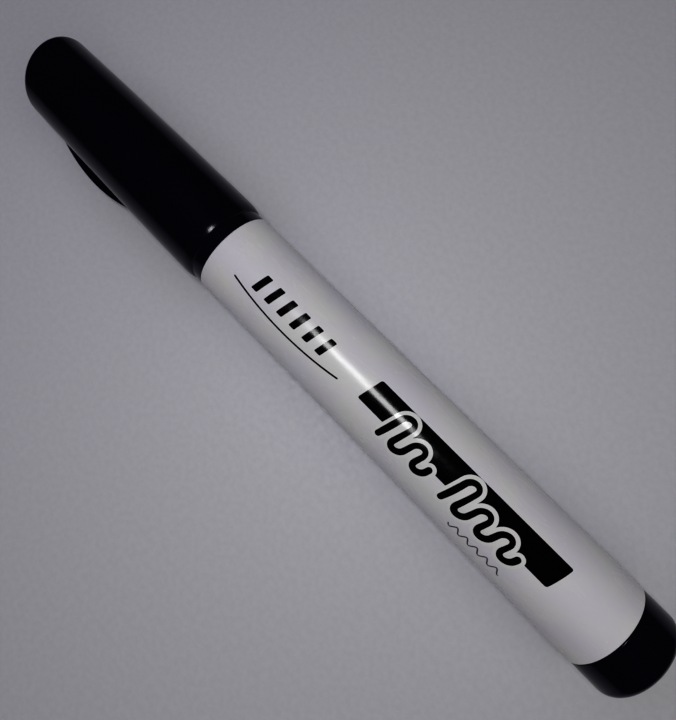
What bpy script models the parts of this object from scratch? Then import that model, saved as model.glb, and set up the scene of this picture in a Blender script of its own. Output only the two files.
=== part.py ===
"""Capped whiteboard marker, lying on its side.

Eight pieces: barrel, rear plug, nib holder, nib, ink reservoir fibre and its film, and a pull-off cap
made of a shell with a fin and an inner seal.

Every piece is drawn along +X, which runs from the rear plug to the cap's closed end. The marker's axis
is Y = Z = 0 and the cap's mouth is X = 0. The whole marker is then moved so that it lies on Z = 0 with
the middle of its outline over the origin. Lengths are in metres.
"""
import math

import bmesh
import bpy
from mathutils import Matrix, Vector

# Clearance kept between pieces that touch.
FIT_GAP = 0.0003

# Barrel: a tube with a narrower neck that the cap slides over.
BARREL_RADIUS = 0.0080
BARREL_LENGTH = 0.0833
BARREL_WALL = 0.0013
BARREL_EDGE = 0.00025
NECK_STEP = 0.0010
NECK_LENGTH = 0.0120
NECK_WALL = 0.0010
BORE_STEP_DEPTH = 0.0022
BORE_STEP_LENGTH = 0.0010
SNAP_HEIGHT = 0.0002
SNAP_WIDTH = 0.0012
SNAP_FROM_NECK_END = 0.0035
RIB_COUNT = 6
RIB_THICKNESS = 0.0008

# Rear plug: a hollow cup pressed into the barrel.
PLUG_HEAD_STEP = 0.00015
PLUG_HEAD_LENGTH = 0.0068
PLUG_HEAD_ROUND = 0.0016
PLUG_SKIRT_LENGTH = 0.0090
PLUG_WALL = 0.0011
PLUG_FLOOR = 0.0014
PLUG_LEAD_IN = 0.0005

# Nib holder: a skirt inside the neck, a cone and a tube around the nib.
HOLDER_SKIRT_LENGTH = 0.0050
HOLDER_SKIRT_WALL = 0.0008
HOLDER_SET_IN = 0.0002
HOLDER_RIM_LENGTH = 0.0012
HOLDER_CONE_LENGTH = 0.0060
HOLDER_TUBE_LENGTH = 0.0063
HOLDER_TUBE_WALL = 0.0013
HOLDER_TUBE_EDGE = 0.0004
HOLDER_CONE_WALL = 0.0012

# Nib: a bullet-shaped fibre rod.
NIB_RADIUS = 0.0024
NIB_LENGTH = 0.0380
NIB_REACH = 0.0060
NIB_TIP_LENGTH = 0.0036
NIB_TIP_FLAT = 0.0009
NIB_TAIL_CHAMFER = 0.0006

# Reservoir film around the fibre.
FILM_WALL = 0.0002

# Cap shell: a tapered cup with a thin collar at its mouth and a slanted closed end.
CAP_LENGTH = 0.0519
CAP_BODY_STEP = 0.0005
CAP_TAPER = 0.00065
CAP_SIDE_WALL = 0.0010
CAP_END_WALL = 0.0015
CAP_END_ROUND = 0.0012
CAP_END_SLOPE = 0.223
CAP_COLLAR_LENGTH = 0.0021
CAP_COLLAR_SET_IN = 0.0001
CAP_COLLAR_EDGE = 0.0001
CAP_SHOULDER_LENGTH = 0.0019
CAP_BORE_LEAD_IN = 0.00015

# Fin on the cap: a thin crescent rib that stops the marker rolling away.
FIN_ANGLE = math.radians(-30.0)
FIN_LENGTH = 0.0252
FIN_FROM_END = 0.0028
FIN_HEIGHT = 0.0030
FIN_THICKNESS = 0.0018
FIN_EDGE = 0.0005
FIN_ROOT = 0.0005

# Inner seal: a liner tube that closes over the nib holder's tube.
SEAL_OVERLAP = 0.0045
SEAL_WALL = 0.0007
SEAL_FLARE = 0.0004
SEAL_FLARE_LENGTH = 0.0015
SEAL_FLANGE = 0.0012

# Facets around a round piece. Half a facet of turn puts a flat one underneath.
FACETS = 64
FILLET_STEPS = 5
START_ANGLE = -math.pi / 2 + math.pi / FACETS
MERGE_DISTANCE = 1e-6
SHARP_ANGLE = math.radians(35.0)

# Radii that follow from the piece around or inside.
NECK_RADIUS = BARREL_RADIUS - NECK_STEP
BARREL_BORE = BARREL_RADIUS - BARREL_WALL
NECK_BORE = NECK_RADIUS - NECK_WALL
FILM_RADIUS = NECK_BORE - FIT_GAP
FILM_BORE = FILM_RADIUS - FILM_WALL
FIBRE_RADIUS = FILM_BORE - FIT_GAP
NIB_BORE = NIB_RADIUS + FIT_GAP
PLUG_HEAD_RADIUS = BARREL_RADIUS - PLUG_HEAD_STEP
PLUG_SKIRT_RADIUS = BARREL_BORE - FIT_GAP
HOLDER_RIM_RADIUS = NECK_RADIUS - HOLDER_SET_IN
HOLDER_SKIRT_RADIUS = NECK_BORE - FIT_GAP
HOLDER_TUBE_RADIUS = NIB_BORE + HOLDER_TUBE_WALL
CAP_COLLAR_RADIUS = BARREL_RADIUS - CAP_COLLAR_SET_IN
CAP_BODY_RADIUS = BARREL_RADIUS + CAP_BODY_STEP
CAP_END_RADIUS = CAP_BODY_RADIUS - CAP_TAPER
CAP_BORE = NECK_RADIUS + SNAP_HEIGHT + FIT_GAP
CAP_DEEP_BORE = CAP_END_RADIUS - CAP_SIDE_WALL
SEAL_BORE = HOLDER_TUBE_RADIUS + FIT_GAP
SEAL_RADIUS = SEAL_BORE + SEAL_WALL
SEAL_FLANGE_RADIUS = CAP_DEEP_BORE - FIT_GAP

# Places along the axis, from the cap's mouth.
SHOULDER_X = -FIT_GAP
BARREL_REAR_X = SHOULDER_X - BARREL_LENGTH
NECK_END_X = SHOULDER_X + NECK_LENGTH
PLUG_SEAT_X = BARREL_REAR_X - FIT_GAP
PLUG_REAR_X = PLUG_SEAT_X - PLUG_HEAD_LENGTH
PLUG_SKIRT_X = BARREL_REAR_X + PLUG_SKIRT_LENGTH
HOLDER_SEAT_X = NECK_END_X + FIT_GAP
HOLDER_SKIRT_X = NECK_END_X - HOLDER_SKIRT_LENGTH
HOLDER_CONE_X = HOLDER_SEAT_X + HOLDER_RIM_LENGTH
HOLDER_TUBE_X = HOLDER_CONE_X + HOLDER_CONE_LENGTH
HOLDER_FRONT_X = HOLDER_TUBE_X + HOLDER_TUBE_LENGTH
NIB_TIP_X = HOLDER_FRONT_X + NIB_REACH
NIB_TAIL_X = NIB_TIP_X - NIB_LENGTH
RESERVOIR_REAR_X = PLUG_SKIRT_X + FIT_GAP
RESERVOIR_FRONT_X = HOLDER_SKIRT_X - FIT_GAP
CAP_SLANT_DROP = CAP_END_SLOPE * CAP_END_RADIUS
CAP_FLOOR_X = CAP_LENGTH - max(CAP_SLANT_DROP, CAP_END_ROUND) - CAP_END_WALL
SEAL_BACK_X = CAP_FLOOR_X - FIT_GAP
SEAL_MOUTH_X = HOLDER_FRONT_X - SEAL_OVERLAP
CAP_SHOULDER_X = CAP_COLLAR_LENGTH + CAP_SHOULDER_LENGTH
FIN_END_X = CAP_LENGTH - CAP_SLANT_DROP - CAP_END_ROUND - FIN_FROM_END
FIN_START_X = FIN_END_X - FIN_LENGTH

# Colour, roughness and metallic of each piece.
FINISHES = {
    "barrel": ((0.78, 0.78, 0.80), 0.30, 0.0),
    "rear_plug": ((0.012, 0.012, 0.016), 0.32, 0.0),
    "nib_holder": ((0.72, 0.72, 0.74), 0.35, 0.0),
    "nib": ((0.02, 0.02, 0.025), 0.90, 0.0),
    "reservoir_fibre": ((0.10, 0.10, 0.11), 0.95, 0.0),
    "reservoir_film": ((0.75, 0.76, 0.78), 0.25, 0.0),
    "cap_shell": ((0.010, 0.010, 0.015), 0.25, 0.0),
    "cap_inner_seal": ((0.60, 0.60, 0.62), 0.45, 0.0),
}


def arc(centre, radius, start_degrees, end_degrees, steps=FILLET_STEPS):
    """Points (x, r) of an arc, with angles from +X towards +r."""
    angles = [start_degrees + (end_degrees - start_degrees) * i / steps for i in range(steps + 1)]
    return [(centre[0] + radius * math.cos(math.radians(a)),
             centre[1] + radius * math.sin(math.radians(a))) for a in angles]


def material_for(name):
    """The piece's own Principled material."""
    colour, roughness, metallic = FINISHES[name]
    material = bpy.data.materials.new(name)
    material.use_nodes = True
    shader = material.node_tree.nodes["Principled BSDF"]
    shader.inputs["Base Color"].default_value = (*colour, 1.0)
    shader.inputs["Roughness"].default_value = roughness
    shader.inputs["Metallic"].default_value = metallic
    return material


def object_from(name, solid):
    """A smooth-shaded object with sharp edges kept where its faces meet at an angle."""
    bmesh.ops.recalc_face_normals(solid, faces=solid.faces)
    mesh = bpy.data.meshes.new(name)
    solid.to_mesh(mesh)
    solid.free()
    mesh.shade_smooth()
    mesh.set_sharp_from_angle(angle=SHARP_ANGLE)
    piece = bpy.data.objects.new(name, mesh)
    bpy.context.scene.collection.objects.link(piece)
    return piece


def turned(profile, open_ended=False):
    """A solid of revolution about X. An open-ended profile starts and stops on the axis."""
    solid = bmesh.new()
    side = (math.cos(START_ANGLE), math.sin(START_ANGLE))
    points = [solid.verts.new((x, r * side[0], r * side[1])) for x, r in profile]
    edges = [solid.edges.new(pair) for pair in zip(points, points[1:])]
    if not open_ended:
        edges.append(solid.edges.new((points[-1], points[0])))
    bmesh.ops.spin(solid, geom=points + edges, cent=(0, 0, 0), axis=(1, 0, 0),
                   angle=2 * math.pi, steps=FACETS, use_merge=True)
    bmesh.ops.remove_doubles(solid, verts=solid.verts, dist=MERGE_DISTANCE)
    return solid


def finished(name, solid):
    """The named piece with its own material."""
    piece = object_from(name, solid)
    piece.data.materials.append(material_for(name))
    return piece


def fuse(piece, extra_name, extra_solid):
    """Moulds an extra solid onto a piece as one body."""
    extra = object_from(extra_name, extra_solid)
    extra.hide_render = True
    extra.display_type = "WIRE"
    union = piece.modifiers.new(extra_name, "BOOLEAN")
    union.operation = "UNION"
    union.solver = "EXACT"
    union.object = extra


def barrel_profile():
    """Tube wall, shoulder, neck with its snap ring, and the stepped bore."""
    snap_x = NECK_END_X - SNAP_FROM_NECK_END
    snap = [(snap_x - SNAP_WIDTH / 2, NECK_RADIUS),
            (snap_x - SNAP_WIDTH / 5, NECK_RADIUS + SNAP_HEIGHT),
            (snap_x + SNAP_WIDTH / 5, NECK_RADIUS + SNAP_HEIGHT),
            (snap_x + SNAP_WIDTH / 2, NECK_RADIUS)]
    step_x = SHOULDER_X - BORE_STEP_DEPTH
    return (
        arc((BARREL_REAR_X + BARREL_EDGE, BARREL_RADIUS - BARREL_EDGE), BARREL_EDGE, 180, 90, 3)
        + arc((SHOULDER_X - BARREL_EDGE, BARREL_RADIUS - BARREL_EDGE), BARREL_EDGE, 90, 0, 3)
        + [(SHOULDER_X, NECK_RADIUS)]
        + snap
        + [(NECK_END_X - BARREL_EDGE, NECK_RADIUS), (NECK_END_X, NECK_RADIUS - BARREL_EDGE),
           (NECK_END_X, NECK_BORE), (step_x, NECK_BORE),
           (step_x - BORE_STEP_LENGTH, BARREL_BORE), (BARREL_REAR_X, BARREL_BORE)]
    )


def barrel_ribs():
    """Ribs along the bore that hold the reservoir in the middle and leave air round it."""
    start = PLUG_SKIRT_X + FIT_GAP
    end = SHOULDER_X - BORE_STEP_DEPTH - BORE_STEP_LENGTH / 2
    inner = NECK_BORE
    outer = BARREL_BORE + BARREL_WALL / 3
    ribs = bmesh.new()
    for i in range(RIB_COUNT):
        turn = Matrix.Rotation(2 * math.pi * i / RIB_COUNT, 4, "X")
        size = Matrix.Diagonal((end - start, RIB_THICKNESS, outer - inner, 1.0))
        place = Matrix.Translation(((start + end) / 2, 0.0, (inner + outer) / 2))
        bmesh.ops.create_cube(ribs, size=1.0, matrix=turn @ place @ size)
    return ribs


def make_barrel():
    """White barrel with its neck and inner ribs."""
    barrel = finished("barrel", turned(barrel_profile()))
    fuse(barrel, "barrel_ribs", barrel_ribs())
    return barrel


def make_rear_plug():
    """Black cup that closes the barrel, with a flat rear face."""
    bore = PLUG_SKIRT_RADIUS - PLUG_WALL
    round_centre = (PLUG_REAR_X + PLUG_HEAD_ROUND, PLUG_HEAD_RADIUS - PLUG_HEAD_ROUND)
    profile = (
        [(PLUG_REAR_X, 0.0)]
        + arc(round_centre, PLUG_HEAD_ROUND, 180, 90)
        + [(PLUG_SEAT_X, PLUG_HEAD_RADIUS), (PLUG_SEAT_X, PLUG_SKIRT_RADIUS),
           (PLUG_SKIRT_X - PLUG_LEAD_IN, PLUG_SKIRT_RADIUS),
           (PLUG_SKIRT_X, PLUG_SKIRT_RADIUS - PLUG_LEAD_IN), (PLUG_SKIRT_X, bore),
           (PLUG_REAR_X + PLUG_FLOOR, bore), (PLUG_REAR_X + PLUG_FLOOR, 0.0)]
    )
    return finished("rear_plug", turned(profile, open_ended=True))


def make_nib_holder():
    """Skirt, rim, cone and tube that carry the nib."""
    skirt_bore = HOLDER_SKIRT_RADIUS - HOLDER_SKIRT_WALL
    profile = [
        (HOLDER_SKIRT_X, HOLDER_SKIRT_RADIUS),
        (HOLDER_SEAT_X, HOLDER_SKIRT_RADIUS),
        (HOLDER_SEAT_X, HOLDER_RIM_RADIUS),
        (HOLDER_CONE_X, HOLDER_RIM_RADIUS),
        (HOLDER_TUBE_X, HOLDER_TUBE_RADIUS),
        (HOLDER_FRONT_X - HOLDER_TUBE_EDGE, HOLDER_TUBE_RADIUS),
        (HOLDER_FRONT_X, HOLDER_TUBE_RADIUS - HOLDER_TUBE_EDGE),
        (HOLDER_FRONT_X, NIB_BORE),
        (HOLDER_TUBE_X, NIB_BORE),
        (HOLDER_TUBE_X - HOLDER_CONE_WALL, NIB_BORE + HOLDER_TUBE_EDGE),
        (HOLDER_CONE_X - HOLDER_CONE_WALL, skirt_bore),
        (HOLDER_SKIRT_X, skirt_bore),
    ]
    return finished("nib_holder", turned(profile))


def make_nib():
    """Fibre rod with a bullet tip and a chamfered tail inside the reservoir."""
    tip_start = NIB_TIP_X - NIB_TIP_LENGTH
    steps = 2 * FILLET_STEPS
    tip = []
    for i in range(1, steps + 1):
        turn = math.pi / 2 * i / steps
        tip.append((tip_start + NIB_TIP_LENGTH * math.sin(turn),
                    NIB_TIP_FLAT + (NIB_RADIUS - NIB_TIP_FLAT) * math.cos(turn)))
    profile = (
        [(NIB_TAIL_X, 0.0), (NIB_TAIL_X, NIB_RADIUS - NIB_TAIL_CHAMFER),
         (NIB_TAIL_X + NIB_TAIL_CHAMFER, NIB_RADIUS), (tip_start, NIB_RADIUS)]
        + tip
        + [(NIB_TIP_X, 0.0)]
    )
    return finished("nib", turned(profile, open_ended=True))


def make_reservoir_fibre():
    """Round wad of fibre that holds the ink, bored for the nib's tail."""
    bore_end = NIB_TAIL_X - FIT_GAP
    profile = [
        (RESERVOIR_REAR_X, 0.0),
        (RESERVOIR_REAR_X, FIBRE_RADIUS),
        (RESERVOIR_FRONT_X, FIBRE_RADIUS),
        (RESERVOIR_FRONT_X, NIB_BORE),
        (bore_end, NIB_BORE),
        (bore_end, 0.0),
    ]
    return finished("reservoir_fibre", turned(profile, open_ended=True))


def make_reservoir_film():
    """Thin sleeve wrapped round the fibre, open at both ends."""
    profile = [
        (RESERVOIR_REAR_X, FILM_RADIUS),
        (RESERVOIR_FRONT_X, FILM_RADIUS),
        (RESERVOIR_FRONT_X, FILM_BORE),
        (RESERVOIR_REAR_X, FILM_BORE),
    ]
    return finished("reservoir_film", turned(profile))


def cap_outer_radius(x):
    """Radius of the cap's tapered outside, x from its mouth."""
    return CAP_BODY_RADIUS - CAP_TAPER * x / CAP_LENGTH


def slant_end(solid):
    """Shears the closed end so that it is shortest on the fin's side."""
    end_start = CAP_LENGTH - CAP_END_ROUND - MERGE_DISTANCE
    for vertex in solid.verts:
        if vertex.co.x >= end_start:
            towards_fin = vertex.co.y * math.cos(FIN_ANGLE) + vertex.co.z * math.sin(FIN_ANGLE)
            vertex.co.x -= CAP_END_SLOPE * towards_fin


def fin_solid():
    """Crescent rib: a circular arc over its chord, rooted in the cap's wall."""
    half = FIN_LENGTH / 2
    bow_radius = (half ** 2 + FIN_HEIGHT ** 2) / (2 * FIN_HEIGHT)
    bow_angle = math.degrees(math.asin(half / bow_radius))
    chord_radius = cap_outer_radius(FIN_START_X + half)
    centre = (FIN_START_X + half, chord_radius + FIN_HEIGHT - bow_radius)
    crest = arc(centre, bow_radius, 90 + bow_angle, 90 - bow_angle, 4 * FILLET_STEPS)
    outline = crest + [(FIN_END_X, cap_outer_radius(FIN_END_X) - FIN_ROOT),
                       (FIN_START_X, cap_outer_radius(FIN_START_X) - FIN_ROOT)]
    fin = bmesh.new()
    face = fin.faces.new([fin.verts.new((x, r, -FIN_THICKNESS / 2)) for x, r in outline])
    raised = bmesh.ops.extrude_face_region(fin, geom=[face])["geom"]
    bmesh.ops.translate(fin, verts=[v for v in raised if isinstance(v, bmesh.types.BMVert)],
                        vec=(0.0, 0.0, FIN_THICKNESS))
    crest_edges = [edge for edge in fin.edges
                   if abs(edge.verts[0].co.z - edge.verts[1].co.z) < MERGE_DISTANCE
                   and min(v.co.y - cap_outer_radius(v.co.x) for v in edge.verts) > -FIN_ROOT / 2]
    bmesh.ops.bevel(fin, geom=crest_edges, offset=FIN_EDGE, segments=2, profile=0.5, affect="EDGES")
    bmesh.ops.rotate(fin, verts=fin.verts, cent=Vector(), matrix=Matrix.Rotation(FIN_ANGLE, 3, "X"))
    return fin


def make_cap_shell():
    """Black cup with a collar, a rounded shoulder, a slanted closed end and the fin moulded on."""
    collar = [(0.0, CAP_COLLAR_RADIUS - CAP_COLLAR_EDGE), (CAP_COLLAR_EDGE, CAP_COLLAR_RADIUS)]
    shoulder_top = cap_outer_radius(CAP_SHOULDER_X)
    shoulder = [(CAP_SHOULDER_X - CAP_SHOULDER_LENGTH * math.cos(turn),
                 CAP_COLLAR_RADIUS + (shoulder_top - CAP_COLLAR_RADIUS) * math.sin(turn))
                for turn in (math.pi / 2 * i / FILLET_STEPS for i in range(FILLET_STEPS + 1))]
    round_centre = (CAP_LENGTH - CAP_END_ROUND, CAP_END_RADIUS - CAP_END_ROUND)
    profile = (
        collar
        + shoulder
        + arc(round_centre, CAP_END_ROUND, 90, 0)
        + [(CAP_LENGTH, 0.0)]
    )
    bore = [(CAP_FLOOR_X, 0.0), (CAP_FLOOR_X, CAP_DEEP_BORE), (NECK_END_X, CAP_BORE),
            (CAP_BORE_LEAD_IN, CAP_BORE), (0.0, CAP_BORE + CAP_BORE_LEAD_IN)]
    solid = turned(bore + profile, open_ended=True)
    slant_end(solid)
    cap = finished("cap_shell", solid)
    fuse(cap, "cap_fin", fin_solid())
    return cap


def make_cap_inner_seal():
    """Liner with a flange in the cap's closed end and a tube that closes over the nib holder."""
    flange_front = SEAL_BACK_X - SEAL_FLANGE
    profile = [
        (SEAL_BACK_X, 0.0),
        (SEAL_BACK_X, SEAL_FLANGE_RADIUS),
        (flange_front, SEAL_FLANGE_RADIUS),
        (flange_front, SEAL_RADIUS),
        (SEAL_MOUTH_X + SEAL_FLARE_LENGTH, SEAL_RADIUS),
        (SEAL_MOUTH_X, SEAL_RADIUS + SEAL_FLARE),
        (SEAL_MOUTH_X, SEAL_BORE + SEAL_FLARE),
        (SEAL_MOUTH_X + SEAL_FLARE_LENGTH, SEAL_BORE),
        (flange_front, SEAL_BORE),
        (flange_front, 0.0),
    ]
    return finished("cap_inner_seal", turned(profile, open_ended=True))


def lay_down(pieces):
    """Puts every piece's origin on the marker's axis, with the marker lying on Z = 0."""
    bpy.context.view_layer.update()
    graph = bpy.context.evaluated_depsgraph_get()
    corners = [Vector(corner) for piece in pieces for corner in piece.evaluated_get(graph).bound_box]
    low = [min(corner[axis] for corner in corners) for axis in range(3)]
    high = [max(corner[axis] for corner in corners) for axis in range(3)]
    place = (-(low[0] + high[0]) / 2, -(low[1] + high[1]) / 2, -low[2])
    for item in bpy.context.scene.objects:
        item.location = place


def main():
    """Clears the scene and makes the marker."""
    for item in list(bpy.data.objects):
        bpy.data.objects.remove(item, do_unlink=True)
    pieces = [
        make_barrel(),
        make_rear_plug(),
        make_nib_holder(),
        make_nib(),
        make_reservoir_fibre(),
        make_reservoir_film(),
        make_cap_shell(),
        make_cap_inner_seal(),
    ]
    lay_down(pieces)


main()
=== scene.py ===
"""Whiteboard marker: a white printed barrel, a black plug and a pull-off black cap with a fin.

Each moulding is a surface of two parameters, laid out on a grid of rows along the marker's axis and
columns round it. The print lies on the barrel as thin raised strips of ink.
"""
import logging
import math
from dataclasses import dataclass
from enum import Enum

import bpy
import numpy as np
from mathutils import Matrix, Vector


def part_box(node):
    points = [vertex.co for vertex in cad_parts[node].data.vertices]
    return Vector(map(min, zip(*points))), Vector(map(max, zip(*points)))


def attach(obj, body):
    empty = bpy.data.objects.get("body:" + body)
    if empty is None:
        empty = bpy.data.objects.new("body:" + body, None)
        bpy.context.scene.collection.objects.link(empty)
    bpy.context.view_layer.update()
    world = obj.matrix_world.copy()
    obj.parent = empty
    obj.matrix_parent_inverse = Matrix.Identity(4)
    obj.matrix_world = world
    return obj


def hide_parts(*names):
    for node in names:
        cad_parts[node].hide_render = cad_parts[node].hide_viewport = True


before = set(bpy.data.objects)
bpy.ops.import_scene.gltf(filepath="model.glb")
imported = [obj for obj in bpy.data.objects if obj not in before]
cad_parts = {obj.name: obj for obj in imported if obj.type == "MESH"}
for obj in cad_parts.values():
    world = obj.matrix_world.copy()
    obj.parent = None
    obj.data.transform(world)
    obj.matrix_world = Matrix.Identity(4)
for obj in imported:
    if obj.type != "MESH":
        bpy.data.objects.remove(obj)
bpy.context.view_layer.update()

MM = 0.001
JOINT_GAP = 0.3 * MM

log = logging.getLogger("marker")

Surface = tuple[np.ndarray, np.ndarray, np.ndarray]
Colour = tuple[float, float, float]


# ---------------------------------------------------------------------------------------------
# Surfaces
# ---------------------------------------------------------------------------------------------

@dataclass(frozen=True)
class Axis:
    """The marker's own axis: a line along X through (y, z), with places measured from the cap's mouth."""

    mouth_x: float
    y: float
    z: float

    def ring(self, x: np.ndarray, r: np.ndarray, angle: np.ndarray) -> np.ndarray:
        """Points at radius r round the axis: (x, y + r sin(angle), z + r cos(angle)).

        Args:
            x: distance along the axis from the cap's mouth.
            r: distance from the axis.
            angle: turn from straight up towards +Y, in radians.

        Returns:
            An array of the broadcast shape with a last dimension of 3.
        """
        x, r, angle = np.broadcast_arrays(x, r, angle)
        across = self.y + r * np.sin(angle)
        up = self.z + r * np.cos(angle)
        return np.stack([self.mouth_x + x, across, up], axis=-1)


@dataclass(frozen=True)
class Corner:
    """A corner of a turned outline: its place along the axis, its radius and how much it is rounded."""

    x: float
    r: float
    fillet: float = 0.0


def outline(corners: list[Corner], arc_steps: int = 7, longest: float = 4.0 * MM) -> np.ndarray:
    """Draws a turned outline with its corners rounded.

    At each corner the fillet is the arc tangent to both sides: with half the corner's angle h, it
    touches them at fillet / tan(h) from the corner. Straight runs are cut so that no step is longer
    than the given length.

    Args:
        corners: the outline's corners in order.
        arc_steps: the number of steps in each fillet.
        longest: the longest step along a straight run.

    Returns:
        An (n, 2) array of (x, r).
    """
    points = [np.array([c.x, c.r]) for c in corners]
    runs = []
    for i, corner in enumerate(corners):
        here = points[i]
        if corner.fillet <= 0.0 or i in (0, len(corners) - 1):
            runs.append(here[None])
            continue
        back = (points[i - 1] - here) / np.linalg.norm(points[i - 1] - here)
        ahead = (points[i + 1] - here) / np.linalg.norm(points[i + 1] - here)
        half = math.acos(float(np.clip(back @ ahead, -1.0, 1.0))) / 2
        middle = (back + ahead) / np.linalg.norm(back + ahead)
        centre = here + middle * corner.fillet / math.sin(half)
        sweep = math.pi / 2 - half
        turn = np.linspace(-sweep, sweep, arc_steps + 1)[:, None]
        side = ahead - (ahead @ middle) * middle
        side = side / np.linalg.norm(side)
        runs.append(centre + corner.fillet * (-np.cos(turn) * middle + np.sin(turn) * side))
    joined = np.concatenate(runs)
    gaps = np.linalg.norm(np.diff(joined, axis=0), axis=1)
    cuts = np.maximum(1, np.ceil(gaps / longest).astype(int))
    run = np.repeat(np.arange(len(cuts)), cuts)
    before = np.repeat(np.cumsum(cuts) - cuts, cuts)
    share = ((np.arange(len(run)) - before + 1) / cuts[run])[:, None]
    return np.concatenate([joined[:1], joined[run] + (joined[run + 1] - joined[run]) * share])


def cells(index: np.ndarray) -> np.ndarray:
    """The quads of a grid of point numbers, one for each cell."""
    corners = [index[:-1, :-1], index[1:, :-1], index[1:, 1:], index[:-1, 1:]]
    return np.stack(corners, axis=-1).reshape(-1, 4)


def turned(grid: np.ndarray, poles: bool) -> Surface:
    """Joins a grid of rings into a closed surface.

    Rows run along the outline and columns go round the axis. Each cell is a quad, and the last column
    meets the first. With poles, the first and last rows have shrunk to a point and close with fans.
    Without, the last row meets the first, as in a tube with a bore.

    Args:
        grid: an (rows, columns, 3) array of points.
        poles: whether the first and last rows are single points.

    Returns:
        Points, quads and triangles.
    """
    rows, columns, _ = grid.shape
    body = grid[1:-1] if poles else grid
    count = body.shape[0]
    index = np.arange(count * columns).reshape(count, columns)
    index = np.concatenate([index, index[:, :1]], axis=1)
    if not poles:
        index = np.concatenate([index, index[:1]], axis=0)
    quads = cells(index)
    points = body.reshape(-1, 3)
    triangles = np.zeros((0, 3), int)
    if poles:
        first, last = len(points), len(points) + 1
        points = np.concatenate([points, grid[0, :1], grid[-1, :1]])
        start = np.stack([np.full(columns, first), index[0, :-1], index[0, 1:]], axis=-1)
        end = np.stack([np.full(columns, last), index[-1, 1:], index[-1, :-1]], axis=-1)
        triangles = np.concatenate([start, end])
    return points, quads, triangles


def slab(top: np.ndarray, bottom: np.ndarray) -> Surface:
    """Closes two matching grids into a thin solid with a top, a bottom and four edges.

    Args:
        top: an (n, m, 3) array of the upper surface.
        bottom: the same grid on the lower surface.

    Returns:
        Points, quads and an empty set of triangles.
    """
    n, m, _ = top.shape
    upper = np.arange(n * m).reshape(n, m)
    lower = upper + n * m
    walls = [
        cells(np.stack([upper[:, 0], lower[:, 0]], axis=-1)[::-1]),
        cells(np.stack([upper[:, -1], lower[:, -1]], axis=-1)),
        cells(np.stack([upper[0], lower[0]], axis=-1)),
        cells(np.stack([upper[-1], lower[-1]], axis=-1)[::-1]),
    ]
    quads = np.concatenate([cells(upper), cells(lower)[:, ::-1], *walls])
    points = np.concatenate([top.reshape(-1, 3), bottom.reshape(-1, 3)])
    return points, quads, np.zeros((0, 3), int)


def merged(surfaces: list[Surface]) -> Surface:
    """Puts several closed surfaces into one set of points and faces.

    Args:
        surfaces: points, quads and triangles of each.

    Returns:
        Points, quads and triangles of them all, with the faces' point numbers moved on.
    """
    offsets = np.cumsum([0] + [len(points) for points, _, _ in surfaces])
    return (
        np.concatenate([points for points, _, _ in surfaces]),
        np.concatenate([quads + offset for (_, quads, _), offset in zip(surfaces, offsets)]),
        np.concatenate([triangles + offset for (_, _, triangles), offset in zip(surfaces, offsets)]),
    )


def enclosed_volume(points: np.ndarray, quads: np.ndarray, triangles: np.ndarray) -> float:
    """The signed volume inside a closed surface, which is positive when its faces point outwards.

    It is a sixth of the sum of a . (b x c) over every triangle a, b, c.

    Args:
        points: the surface's points.
        quads: four point numbers for each quad.
        triangles: three point numbers for each triangle.

    Returns:
        The volume in cubic metres.
    """
    every = np.concatenate([quads[:, [0, 1, 2]], quads[:, [0, 2, 3]], triangles])
    a, b, c = (points[every[:, i]] for i in range(3))
    return float(np.einsum("ij,ij->i", a, np.cross(b, c)).sum() / 6.0)


def piece_from(name: str, surface: Surface, sharp_degrees: float = 38.0) -> bpy.types.Object:
    """Puts a closed surface into a mesh object at the origin, shaded smooth with its faces outwards.

    Args:
        name: the piece's name.
        surface: points, quads and triangles.
        sharp_degrees: faces that meet at more than this keep a sharp edge.

    Returns:
        The new object.
    """
    points, quads, triangles = surface
    if enclosed_volume(points, quads, triangles) < 0.0:
        quads = quads[:, ::-1]
        triangles = triangles[:, ::-1]
    mesh = bpy.data.meshes.new(name)
    loops = np.concatenate([quads.ravel(), triangles.ravel()]).astype(np.int32)
    totals = np.concatenate([np.full(len(quads), 4), np.full(len(triangles), 3)]).astype(np.int32)
    starts = np.concatenate([[0], np.cumsum(totals)[:-1]]).astype(np.int32)
    mesh.vertices.add(len(points))
    mesh.vertices.foreach_set("co", points.astype(np.float32).ravel())
    mesh.loops.add(len(loops))
    mesh.loops.foreach_set("vertex_index", loops)
    mesh.polygons.add(len(totals))
    mesh.polygons.foreach_set("loop_start", starts)
    mesh.polygons.foreach_set("loop_total", totals)
    mesh.update(calc_edges=True)
    mesh.validate()
    mesh.shade_smooth()
    mesh.set_sharp_from_angle(angle=math.radians(sharp_degrees))
    piece = bpy.data.objects.new(name, mesh)
    bpy.context.scene.collection.objects.link(piece)
    return piece


# ---------------------------------------------------------------------------------------------
# Finishes
# ---------------------------------------------------------------------------------------------

class Wear(Enum):
    """How much handling a moulding shows."""

    FRESH = 0.35
    HANDLED = 1.0


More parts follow.
